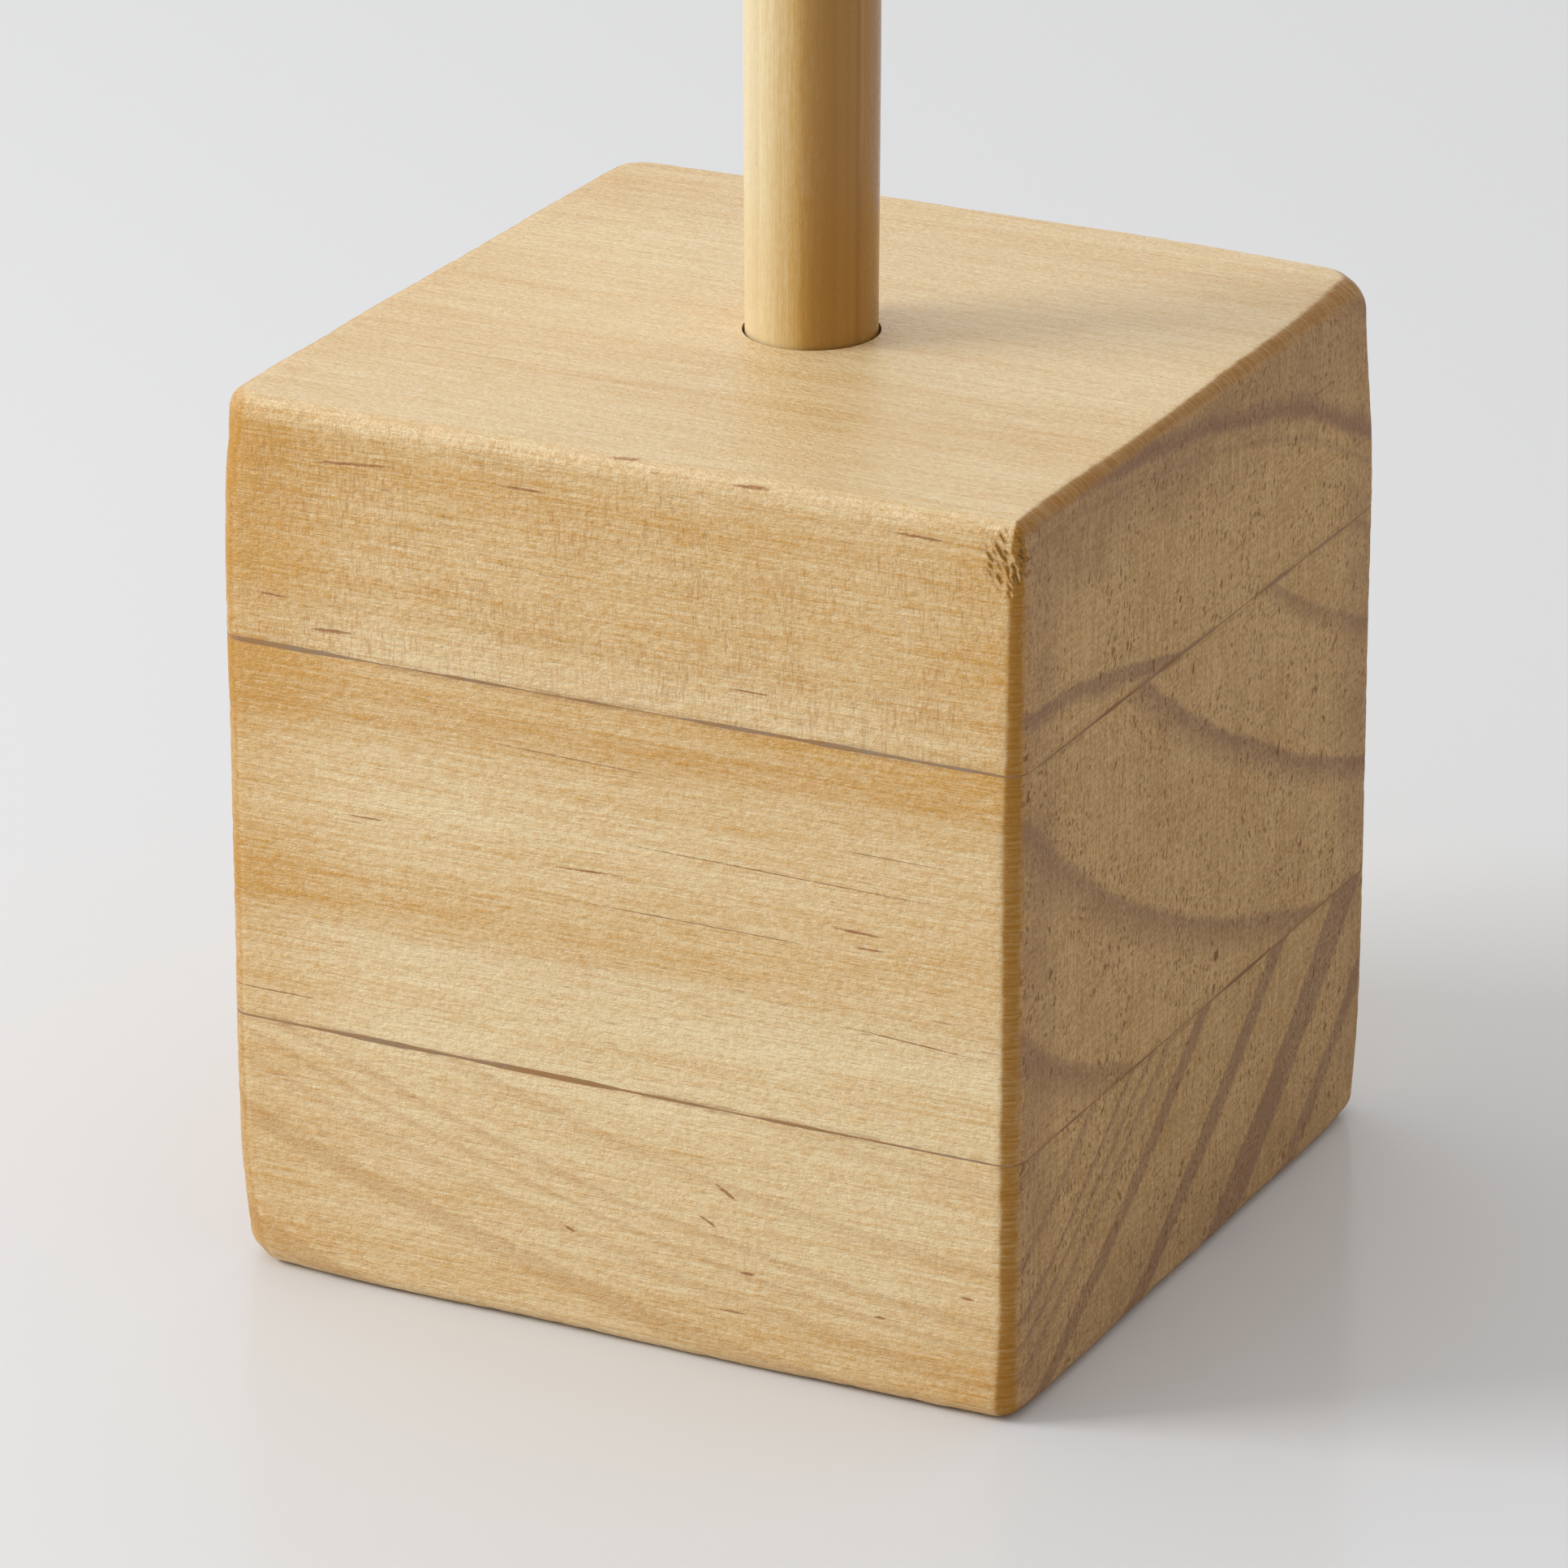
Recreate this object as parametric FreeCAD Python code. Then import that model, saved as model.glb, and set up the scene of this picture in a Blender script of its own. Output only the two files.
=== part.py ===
"""Paper towel holder: a block glued up from three pine boards, with a round dowel standing in a
socket in its top.

Millimetres, +Z up. The origin is the middle of the block's underside. The grain of the boards runs
along X, so the +X and -X faces are end grain. Each piece is its own solid in its own STEP file.
"""
import FreeCAD, Part
import math
import os

from FreeCAD import Vector

# The block: boards laid flat and glued, then sawn and sanded to one square.
BLOCK_SIDE = 102.0
BOTTOM_BOARD_THICKNESS = 32.1
MIDDLE_BOARD_THICKNESS = 46.8
TOP_BOARD_THICKNESS = 29.5
GLUE_FILM_THICKNESS = 0.3
ARRIS_RADIUS = 2.6

# The dowel, whose foot is sanded a little slimmer, and the socket that it drops into.
DOWEL_DIAMETER = 16.0
DOWEL_LENGTH = 350.0
DOWEL_END_RADIUS = 3.0
FOOT_DIAMETER = 15.7
FOOT_LENGTH = 64.0
FOOT_TAPER_LENGTH = 34.0
FOOT_CHAMFER = 1.0
SOCKET_DEPTH = 62.0
SOCKET_CLEARANCE = 0.3

# Bottom to top: every layer of the block, as node name and thickness.
LAYERS = [
    ("bottom_board", BOTTOM_BOARD_THICKNESS),
    ("lower_glue_line", GLUE_FILM_THICKNESS),
    ("middle_board", MIDDLE_BOARD_THICKNESS),
    ("upper_glue_line", GLUE_FILM_THICKNESS),
    ("top_board", TOP_BOARD_THICKNESS),
]
BLOCK_HEIGHT = sum(thickness for _, thickness in LAYERS)
SOCKET_FLOOR = BLOCK_HEIGHT - SOCKET_DEPTH
UP = Vector(0, 0, 1)


def square_prism(side, height, bottom):
    """A square prism centred on the Z axis, standing at the given height."""
    corner = Vector(-side / 2, -side / 2, bottom)
    return Part.makeBox(side, side, height, corner)


def block_envelope():
    """The whole sanded block, with every arris rounded over."""
    block = square_prism(BLOCK_SIDE, BLOCK_HEIGHT, 0)
    return block.makeFillet(ARRIS_RADIUS, block.Edges)


def socket_bore():
    """The hole that the dowel drops into, down from the block's top."""
    radius = FOOT_DIAMETER / 2 + SOCKET_CLEARANCE
    return Part.makeCylinder(radius, SOCKET_DEPTH, Vector(0, 0, SOCKET_FLOOR), UP)


def block_layers():
    """Every board and glue film: a slice of the sanded block, less the socket."""
    block = block_envelope().cut(socket_bore())
    layers = {}
    bottom = 0.0
    for name, thickness in LAYERS:
        layers[name] = block.common(square_prism(BLOCK_SIDE, thickness, bottom))
        bottom += thickness
    return layers


def dowel():
    """The upright rod: its outline from foot to tip, turned once round the Z axis."""
    foot = FOOT_DIAMETER / 2
    body = DOWEL_DIAMETER / 2
    tip = SOCKET_FLOOR + DOWEL_LENGTH
    taper_start = SOCKET_FLOOR + FOOT_LENGTH
    round_over_start = tip - DOWEL_END_RADIUS
    arc_middle = DOWEL_END_RADIUS * math.sqrt(0.5)
    outline = [
        Vector(0, 0, SOCKET_FLOOR),
        Vector(foot - FOOT_CHAMFER, 0, SOCKET_FLOOR),
        Vector(foot, 0, SOCKET_FLOOR + FOOT_CHAMFER),
        Vector(foot, 0, taper_start),
        Vector(body, 0, taper_start + FOOT_TAPER_LENGTH),
        Vector(body, 0, round_over_start),
    ]
    round_over = Part.Arc(
        outline[-1],
        Vector(body - DOWEL_END_RADIUS + arc_middle, 0, round_over_start + arc_middle),
        Vector(body - DOWEL_END_RADIUS, 0, tip),
    ).toShape()
    closing = Part.makePolygon([Vector(body - DOWEL_END_RADIUS, 0, tip), Vector(0, 0, tip), outline[0]])
    profile = Part.Wire(Part.makePolygon(outline).Edges + [round_over] + closing.Edges)
    return Part.Face(profile).revolve(Vector(0, 0, 0), UP, 360)


def export(name, shape):
    """Write one piece, which has to be one closed, valid solid."""
    if len(shape.Solids) != 1 or not shape.isValid():
        raise ValueError(name + " is not one valid solid")
    solid = shape.Solids[0]
    solid.exportStep("parts/" + name + ".step")
    print(name, "volume", round(solid.Volume), "mm3, box", solid.BoundBox)


def main():
    os.makedirs("parts", exist_ok=True)
    for name, shape in block_layers().items():
        export(name, shape)
    export("dowel", dowel())


main()
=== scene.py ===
import math

import bmesh
import bpy
from bpy.props import FloatProperty, FloatVectorProperty, IntProperty, PointerProperty
from mathutils import Matrix, Vector, noise


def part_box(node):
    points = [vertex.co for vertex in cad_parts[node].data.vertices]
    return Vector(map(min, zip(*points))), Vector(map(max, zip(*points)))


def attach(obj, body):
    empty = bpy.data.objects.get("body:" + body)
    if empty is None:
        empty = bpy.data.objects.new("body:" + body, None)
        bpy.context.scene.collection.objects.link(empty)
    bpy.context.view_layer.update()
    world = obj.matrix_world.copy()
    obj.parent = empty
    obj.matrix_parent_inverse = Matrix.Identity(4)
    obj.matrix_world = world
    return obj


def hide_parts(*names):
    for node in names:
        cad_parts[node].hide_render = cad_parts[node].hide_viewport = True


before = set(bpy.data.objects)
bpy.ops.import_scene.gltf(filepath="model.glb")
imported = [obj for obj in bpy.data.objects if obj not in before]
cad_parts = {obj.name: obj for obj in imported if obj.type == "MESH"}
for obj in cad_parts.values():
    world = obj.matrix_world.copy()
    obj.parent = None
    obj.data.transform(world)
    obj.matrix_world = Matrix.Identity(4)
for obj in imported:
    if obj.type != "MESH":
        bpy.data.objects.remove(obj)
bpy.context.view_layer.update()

bl_info = {
    "name": "Towel Holder Finish",
    "version": (1, 0, 0),
    "blender": (4, 5, 0),
    "location": "3D View > Sidebar > Towel Holder",
    "description": "Sanded pine boards, glue lines and dowel of a block towel holder",
    "category": "Object",
}

MM = 0.001
BLOCK_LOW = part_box("bottom_board")[0]
BLOCK_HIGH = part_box("top_board")[1]
BLOCK_SIDE = BLOCK_HIGH.x - BLOCK_LOW.x
LEFT, RIGHT = BLOCK_LOW.x / MM, BLOCK_HIGH.x / MM
FRONT, BACK = BLOCK_LOW.y / MM, BLOCK_HIGH.y / MM
UNDERSIDE, TOP = BLOCK_LOW.z / MM, BLOCK_HIGH.z / MM
DOWEL_LOW, DOWEL_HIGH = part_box("dowel")


def seam_heights(film):
    """Where a glue film starts and ends, in millimetres up from the underside."""
    low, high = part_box(film)
    return low.z / MM, high.z / MM


# ---------------------------------------------------------------- settings

def length(name, description, default):
    """A size that a user may change."""
    return FloatProperty(
        name=name, description=description, default=default, unit="LENGTH", precision=5
    )


def colour(name, description, default):
    """A colour that a user may change."""
    return FloatVectorProperty(
        name=name, description=description, default=default, subtype="COLOR", size=3, min=0, max=1
    )


def share(name, description, default, high=1.0):
    """A plain number that a user may change."""
    return FloatProperty(name=name, description=description, default=default, min=0, max=high)


class BlockSettings(bpy.types.PropertyGroup):
    """How the block was sanded."""

    mesh_step: length("Mesh step", "Spacing of the boards' surface grid", 0.00055)
    arris_radius: length("Arris radius", "Round-over along the block's edges", 0.0021)
    unevenness: length("Unevenness", "How far the sanded faces dip", 0.00016)
    fibre_relief: length("Fibre relief", "Depth of the raised grain", 0.00005)
    edge_wear: length("Edge wear", "Depth of the chips along the rounded edges", 0.00022)
    tear_depth: length("Tear-out depth", "Depth of the torn grain at the near corner", 0.0004)
    socket_radius: length("Socket radius", "Radius of the hole that the dowel drops into", 0.00815)
    socket_depth: length("Socket depth", "Depth of the dowel's hole", 0.062)


class TimberSettings(bpy.types.PropertyGroup):
    """The colours of the oiled pine."""

    pale: colour("Pale grain", "Early wood along the grain", (0.965, 0.765, 0.445))
    honey: colour("Honey grain", "Darker streaks along the grain", (0.685, 0.35, 0.06))
    late: colour("Late wood", "Late wood along the grain", (0.50, 0.22, 0.04))
    check: colour("Checks", "Fine dark splits and resin ducts", (0.37, 0.125, 0.014))
    edge: colour("Soaked edges", "Stain where rounded edges open the grain", (0.42, 0.18, 0.018))
    end_pale: colour("Pale end grain", "Early wood on the sawn ends", (0.92, 0.60, 0.285))
    end_brown: colour("Brown end grain", "Deeper stain on the sawn ends", (0.62, 0.345, 0.125))
    end_late: colour("Dark end grain", "Late wood on the sawn ends", (0.36, 0.185, 0.115))
    pore: colour("Pores", "Torn pores in the sawn ends", (0.27, 0.10, 0.015))
    roughness: share("Roughness", "Roughness of the oiled surface", 0.3)


class GlueSettings(bpy.types.PropertyGroup):
    """The dried glue between the boards."""

    thin: length("Thinnest", "Thinnest stretch of a glue line", 0.00012)
    thick: length("Thickest", "Thickest stretch of a glue line", 0.0007)
    brown: colour("Brown", "Colour of the dried glue", (0.36, 0.20, 0.09))
    grey: colour("Grey", "Colour of the glue where it is thin", (0.33, 0.24, 0.16))
    stain: colour("Stain", "Colour of the wood that the glue soaked", (0.42, 0.22, 0.08))


class DowelSettings(bpy.types.PropertyGroup):
    """The upright rod."""

    foot_radius: length("Foot radius", "Radius of the slimmer foot", 0.00785)
    foot_length: length("Foot length", "Length of the straight foot", 0.064)
    foot_chamfer: length("Foot chamfer", "Bevel round the foot's end", 0.001)
    taper_length: length("Taper length", "Length over which the foot widens to the rod", 0.034)
    end_radius: length("End round-over", "Round-over of the upper end", 0.003)
    row_height: length("Row height", "Height of the faces along the rod", 0.0016)
    sides: IntProperty(name="Sides", description="Faces round the rod", default=128, min=24)
    # The pale side is partly painted light, and the amber side partly painted shade.
    bright: colour("Bright side", "Sapwood side of the rod", (0.83, 0.69, 0.41))
    honey: colour("Honey middle", "Wood between the two sides of the rod", (0.66, 0.385, 0.085))
    amber_shaded_side: colour("Amber side", "Heartwood side of the rod", (0.42, 0.205, 0.034))
    streak: colour("Streak", "Dark grain line on the rod", (0.30, 0.125, 0.025))


class StageSettings(bpy.types.PropertyGroup):
    """Floor, light and camera."""

    floor: colour("Floor", "Colour of the glossy white table", (0.795, 0.80, 0.81))
    key_power: FloatProperty(name="Key", description="Power of the key lamp", default=8.0, unit="POWER")
    azimuth: share("Azimuth", "Camera's angle round the object, in degrees", 26.48, 360)
    elevation: share("Elevation", "Camera's angle above the floor, in degrees", 21.64, 90)
    distance: length("Distance", "Camera's distance from what it looks at", 1.0134)
    focal_length: share("Focal length", "Lens in millimetres", 195.65, 400)


def settings():
    """The settings of this scene."""
    return bpy.context.scene.towel_holder


class HolderSettings(bpy.types.PropertyGroup):
    """All settings of the towel holder."""

    block: PointerProperty(type=BlockSettings)
    timber: PointerProperty(type=TimberSettings)
    glue: PointerProperty(type=GlueSettings)
    dowel: PointerProperty(type=DowelSettings)
    stage: PointerProperty(type=StageSettings)


# ---------------------------------------------------------------- material kit

# A ramp holds at most 32 stops: four for each ring and one at each end.
RINGS_PER_CURVE = 7
# Bare wood at either end of a ramp and the depth of a mark, in mm, and how ragged a mark's outline is.
RING_MARGIN = 5
MARK_DEPTH = 2.0
RAGGED = 0.8


class Recipe:
    """A node tree, built up one plain step at a time. Lengths are in millimetres."""

    def __init__(self, tree):
        self.tree = tree

    def node(self, kind, **values):
        """A new node with its plain properties set."""
        made = self.tree.nodes.new(kind)
        for key, value in values.items():
            setattr(made, key, value)
        return made

    def feed(self, socket, value):
        """Link a socket, or set its constant."""
        if isinstance(value, bpy.types.NodeSocket):
            self.tree.links.new(value, socket)
        else:
            socket.default_value = value

    def separate(self, vector):
        """The X, Y and Z of a vector."""
        made = self.node("ShaderNodeSeparateXYZ")
        self.feed(made.inputs[0], vector)
        return made.outputs[0], made.outputs[1], made.outputs[2]

    def math(self, operation, *values):
        """One Math node."""
        made = self.node("ShaderNodeMath", operation=operation)
        for socket, value in zip(made.inputs, values):
            self.feed(socket, value)
        return made.outputs[0]

    def chain(self, operation, values):
        """The same operation over a list of values."""
        total = values[0]
        for value in values[1:]:
            total = self.math(operation, total, value)
        return total

    def sum(self, *values):
        """All the values added up."""
        return self.chain("ADD", values)

    def product(self, *values):
        """All the values multiplied."""
        return self.chain("MULTIPLY", values)

    def swing(self, value, reach):
        """Turn a value from 0 to 1 into one from -reach to reach."""
        return self.math("MULTIPLY_ADD", value, 2 * reach, -reach)

    def measure(self, operation, *values):
        """One Vector Math node whose result is a number."""
        made = self.node("ShaderNodeVectorMath", operation=operation)
        for socket, value in zip(made.inputs, values):
            self.feed(socket, value)
        return made.outputs["Value"]

    def spread(self, value, low, high, to_low=0.0, to_high=1.0, smooth=True):
        """Map low..high to to_low..to_high, held at the ends."""
        made = self.node("ShaderNodeMapRange", interpolation_type="SMOOTHSTEP" if smooth else "LINEAR")
        self.feed(made.inputs["Value"], value)
        limits = {"From Min": low, "From Max": high, "To Min": to_low, "To Max": to_high}
        for key, number in limits.items():
            self.feed(made.inputs[key], number)
        return made.outputs["Result"]


class Finish(Recipe):
    """A material. Its patterns are solid: they run through the wood on Object coordinates."""

    def __init__(self, name):
        self.material = bpy.data.materials.new(name)
        self.material.use_nodes = True
        super().__init__(self.material.node_tree)
        self.shader = self.tree.nodes["Principled BSDF"]
        where = self.node("ShaderNodeTexCoord")
        self.normal = self.separate(where.outputs["Normal"])
        self.place = self.mapped(where.outputs["Object"], scale=(1 / MM, 1 / MM, 1 / MM))
        self.x, self.y, self.z = self.separate(self.place)

    def facing(self, axis):
        """How squarely the surface faces along an axis, either way: 0 to 1."""
        return self.math("ABSOLUTE", self.normal["XYZ".index(axis)])

    def mapped(self, vector, scale=(1, 1, 1), location=(0, 0, 0), rotation=(0, 0, 0), kind="POINT"):
        """A Mapping node."""
        made = self.node("ShaderNodeMapping", vector_type=kind)
        self.feed(made.inputs["Vector"], vector)
        made.inputs["Scale"].default_value = scale
        made.inputs["Location"].default_value = location
        made.inputs["Rotation"].default_value = rotation
        return made.outputs[0]

    def grains(self, lengths, detail=2.0, roughness=0.5, seed=0, tilt=0.0):
        """Noise whose grains are about as long as lengths along X, Y and Z, tilted about X."""
        turned = self.mapped(self.place, rotation=(tilt, 0, 0)) if tilt else self.place
        shift = (seed * 7.31, seed * 3.17, seed * 5.73)
        made = self.node("ShaderNodeTexNoise", noise_dimensions="3D")
        self.feed(made.inputs["Vector"], self.mapped(turned, [1 / size for size in lengths], shift))
        made.inputs["Scale"].default_value = 1.0
        made.inputs["Detail"].default_value = detail
        made.inputs["Roughness"].default_value = roughness
        return made.outputs["Fac"]

    def marks(self, lenses):
        """Ragged marks at (x, y, z, half length, half width, slope): 1 in their cores, 0 outside."""
        shake = self.grains((1.6, 1.6, 0.5), 3, 0.7, seed=11)
        away = []
        for x, y, z, half_length, half_width, slope in lenses:
            size = (half_length, MARK_DEPTH, half_width)
            local = self.mapped(self.place, size, (x, y, z), (0, -math.atan(slope), 0), "TEXTURE")
            away.append(self.measure("LENGTH", local))
        nearest = self.chain("MINIMUM", away)
        frayed = self.math("MULTIPLY_ADD", shake, 2 * RAGGED, nearest)
        return self.spread(frayed, 0.45 + RAGGED, 1.05 + RAGGED, 1, 0)

    def mix(self, factor, first, second):
        """Blend two colours."""
        made = self.node("ShaderNodeMix", data_type="RGBA")
        self.feed(made.inputs["Factor"], factor)
        for key, value in (("A", first), ("B", second)):
            socket = [s for s in made.inputs if s.name == key and s.type == "RGBA"][0]
            self.feed(socket, value if isinstance(value, bpy.types.NodeSocket) else (*value, 1.0))
        return [s for s in made.outputs if s.type == "RGBA"][0]

    def curve(self, value, stops):
        """A value's curve through (position, height) stops, straight between them."""
        low, high = stops[0][0], stops[-1][0]
        ramp = self.node("ShaderNodeValToRGB")
        self.feed(ramp.inputs[0], self.spread(value, low, high, smooth=False))
        elements = ramp.color_ramp.elements
        for element, (position, height) in zip(list(elements), (stops[0], stops[-1])):
            element.position = (position - low) / (high - low)
            element.color = (height, height, height, 1)
        for position, height in stops[1:-1]:
            element = elements.new((position - low) / (high - low))
            element.color = (height, height, height, 1)
        return self.separate(ramp.outputs["Color"])[0]

    def bands(self, value, rings):
        """Growth rings at (start, end, darkness, softness of the start, softness of the end)."""
        parts = []
        for first in range(0, len(rings), RINGS_PER_CURVE):
            group = rings[first:first + RINGS_PER_CURVE]
            stops = [(group[0][0] - group[0][3] - RING_MARGIN, 0.0)]
            for start, end, darkness, start_softness, end_softness in group:
                stops += [(start - start_softness, 0.0), (start, darkness)]
                stops += [(end, darkness), (end + end_softness, 0.0)]
            stops.append((group[-1][1] + group[-1][4] + RING_MARGIN, 0.0))
            parts.append(self.curve(value, stops))
        return self.sum(*parts)

    def bump(self, height, depth):
        """Relief whose full height is depth, in millimetres."""
        made = self.node("ShaderNodeBump")
        made.inputs["Strength"].default_value = 1.0
        made.inputs["Distance"].default_value = depth * MM
        self.feed(made.inputs["Height"], height)
        return made.outputs[0]


# ---------------------------------------------------------------- pine

# Full height of the relief that a material draws, in mm, and how strongly the oiled wood refracts.
PINE_RELIEF = 0.46
GLUE_RELIEF = 0.1
DOWEL_RELIEF = 0.14
PINE_IOR = 1.58
DOWEL_IOR = 1.5
SAWN_ROUGHNESS = 0.6

# Growth rings lie where u = up + y (lean + curve y + twist up) + sweep (x - RIGHT) + dive (x - RIGHT)^2
# has a fixed value, with up = z - middle. All lengths are in mm.
#   rings: (start, end, darkness, softness of the start, softness of the end) along u
#   ring_on_face, ring_on_end: their strength along the grain and on the sawn ends
#   cut_marks: strength of the saw scratches on the sawn ends
#   scrapes: strength of the marks that the sanding left across the front and the back
#   edge_stain: how much darker the long faces are at their left and right ends
#   shades: (z, how honey-coloured the long grain is)
#   checks: (x, z, half length, half width, slope) on the front
BOARDS = {
    "bottom_board": {
        "piece": "bottom_board_pine", "slot": "pine_bottom",
        "middle": 16.0, "lean": -0.735, "curve": -0.00023, "twist": -0.0038,
        "sweep": 0.08, "dive": -0.0019,
        "rings": [
            (-64.0, -61.0, .8, .6, .4), (-50.0, -46.5, .9, .6, .4), (-34.4, -31.8, .85, .7, .3),
            (-22.6, -16.2, 1.0, .7, .4), (-14.2, -13.8, .4, .3, .3), (-4.0, -0.6, .95, .7, .3),
            (1.4, 1.7, .3, .3, .3), (13.6, 16.4, .85, .8, .3), (18.4, 18.7, .3, .3, .3),
            (23.0, 23.6, .6, 2.0, .5), (27.2, 27.6, .8, 1.0, .3), (31.2, 31.6, .9, 1.2, .3),
            (40.0, 40.4, .7, 2.0, .3), (52.0, 52.4, .6, 2.0, .3),
        ],
        "ring_on_face": 0.3, "ring_on_end": 0.8, "cut_marks": 1.0, "scrapes": 0.3,
        "edge_stain": (0.4, 0.35),
        "shades": [(0, .46), (8, .3), (15, .1), (24, -.06), (32, .04)],
        "checks": [
            (14.5, 22, 1.8, 0.27, -0.6), (12, 18, 1.5, 0.2, -0.5), (-6, 13.4, 1, 0.24, -0.4),
            (17, 12.4, 1.1, 0.27, 0), (34, 10.4, 0.8, 0.24, 0), (45, 15, 1.1, 0.27, -0.1),
            (50, 10, 0.7, 0.2, 0), (15, 7.2, 2.2, 0.14, 0),
        ],
    },
    "middle_board": {
        "piece": "middle_board_pine", "slot": "pine_middle",
        "middle": 56.0, "lean": 0.488, "curve": 0.0002, "twist": 0.0073, "sweep": 0.0, "dive": 0.0,
        "rings": [
            (-57.6, -56.8, .6, 2.5, .7), (-43.8, -43.0, .5, 2.5, .7), (-30.4, -29.6, .8, 3.5, .8),
            (-13.1, -12.2, .85, 4.5, .6), (11.4, 12.4, 1.0, 4.0, .6), (35.2, 36.0, .7, 3.0, .7),
            (52.0, 52.8, .6, 2.5, .7),
        ],
        "ring_on_face": 0.08, "ring_on_end": 0.75, "cut_marks": 0.4, "scrapes": 0.15,
        "edge_stain": (0.6, 0.05),
        "shades": [
            (32, .0), (36, -.12), (43, -.1), (46, .24), (49, .5), (54, .46), (58, .22), (64, .18),
            (69, .28), (73, .7), (77, .9), (80, .9),
        ],
        "checks": [
            (-32, 60, 3.4, 0.13, 0.02), (-3, 58.6, 4.6, 0.14, 0.05), (31, 57.4, 4, 0.21, -0.03),
            (32.5, 55.6, 2.4, 0.15, 0.04), (38, 45.2, 9, 0.11, -0.05), (22, 62.6, 26, 0.08, -0.01),
            (35, 67, 8, 0.08, 0), (10, 54.7, 20, 0.07, 0), (-5, 72, 12, 0.07, -0.02),
            (-45, 36, 7, 0.11, 0),
        ],
    },
    "top_board": {
        "piece": "top_board_pine", "slot": "pine_top",
        "middle": 94.0, "lean": 0.22, "curve": 0.0016, "twist": -0.0048, "sweep": 0.0, "dive": 0.0,
        "rings": [
            (-41.0, -40.2, .5, 2.0, .6), (-28.0, -27.2, .5, 2.0, .6), (-17.6, -16.3, .9, 2.0, .6),
            (7.4, 7.7, .35, .4, .4), (10.2, 11.0, 1.0, .9, 1.8), (22.0, 22.6, .6, 2.0, .7),
            (33.0, 33.6, .5, 2.0, .7),
        ],
        "ring_on_face": 0.08, "ring_on_end": 0.82, "cut_marks": 0.35, "scrapes": 1.0,
        "edge_stain": (0.7, 0.35),
        "shades": [
            (79, .16), (83, .14), (86, .42), (90, .5), (96, .46), (102, .78), (105, .72), (108, .18),
        ],
        "checks": [
            (-33, 103, 7, 0.2, 0.09), (-11, 103.5, 3.6, 0.22, 0), (38.5, 105.8, 4, 0.2, -0.02),
            (-43.5, 85.5, 2.8, 0.17, 0), (-36, 82.3, 3.2, 0.27, 0.05), (17.5, 84, 3, 0.14, 0),
            (18, 108.2, 3.2, 0.2, 0.03), (2, 108.8, 3.4, 0.17, 0.05),
        ],
    },
}


def ring_field(r, facts):
    """The growth rings' coordinate u, wandering slowly along the grain and trembling across it."""
    up = r.math("SUBTRACT", r.z, facts["middle"])
    bend = r.sum(r.product(r.y, facts["curve"]), r.product(up, facts["twist"]), facts["lean"])
    back = r.math("SUBTRACT", r.x, RIGHT)
    along = r.product(back, r.math("MULTIPLY_ADD", back, facts["dive"], facts["sweep"]))
    wander = r.swing(r.grains((80, 24, 24), 2, 0.5, seed=1), 1.6)
    tremble = r.swing(r.grains((25, 3.0, 3.0), 3, 0.65, seed=2), 0.65)
    return r.sum(up, r.product(r.y, bend), along, wander, tremble)


def long_grain(r, facts, ring):
    """Colour and relief where the surface runs with the grain: shades, fibres, scrapes and checks."""
    timber = settings().timber
    sway = r.swing(r.grains((110, 30, 9), 3, 0.5, seed=3), 3.5)
    shade = r.curve(r.sum(r.z, sway), facts["shades"])
    broad = r.spread(r.grains((120, 10, 7), 2, 0.5, seed=4), 0.34, 0.66, -0.16, 0.16)
    streak = r.spread(r.grains((70, 1.5, 1.5), 3, 0.55, seed=5), 0.32, 0.68, -0.1, 0.1)
    line = r.swing(r.grains((16, 0.42, 0.42), 3, 0.65, seed=26), 0.95)
    fibre = r.grains((3.2, 0.24, 0.24), 3, 0.7, seed=6)
    mottle = r.grains((0.85, 0.5, 0.5), 3, 0.65, seed=7)
    left, right = facts["edge_stain"]
    stain = r.sum(r.spread(r.x, -28, -50, 0.0, left), r.spread(r.x, 30, 50, 0.0, right))
    stain = r.product(stain, r.spread(r.facing("Z"), 0.4, 0.9, 1.0, 0.2))
    fine = r.sum(line, r.product(fibre, 2.0), r.product(mottle, 1.9), -1.95)
    tone = r.sum(shade, broad, streak, fine, stain)
    colour = r.mix(r.spread(tone, -0.4, 1.4, smooth=False), timber.pale, timber.honey)
    colour = r.mix(r.product(ring, facts["ring_on_face"]), colour, timber.late)

    # short marks across the grain, which the sanding left on the front and the back
    dash = r.spread(r.grains((0.34, 4.0, 1.7), 3, 0.65, seed=8), 0.47, 0.7)
    where = r.spread(r.grains((16, 16, 8), 2, 0.5, seed=9), 0.38, 0.6, 0.4, 1.0)
    upright = r.spread(r.facing("Y"), 0.6, 0.9, 0.2, 1.0)
    scrape = r.product(dash, where, upright, facts["scrapes"])
    colour = r.mix(r.product(scrape, 0.42), colour, timber.late)

    # fine dark splits and resin ducts, which follow the grain
    duct = r.spread(r.grains((3.5, 0.32, 0.32), 1, 0.4, seed=10), 0.73, 0.8)
    patch = r.spread(r.grains((40, 14, 14), 1, 0.5, seed=12), 0.5, 0.62, 0.12, 1.0)
    split = r.marks([(x, FRONT, z, *rest) for x, z, *rest in facts["checks"]])
    check = r.chain("MAXIMUM", [r.product(duct, patch, 0.6), split])
    colour = r.mix(r.product(check, 0.85), colour, timber.check)

    relief = r.sum(
        r.product(line, 0.12), r.product(fibre, 0.35), r.product(mottle, 0.55),
        r.product(scrape, -0.08), r.product(check, -0.12),
    )
    return colour, relief


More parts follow.
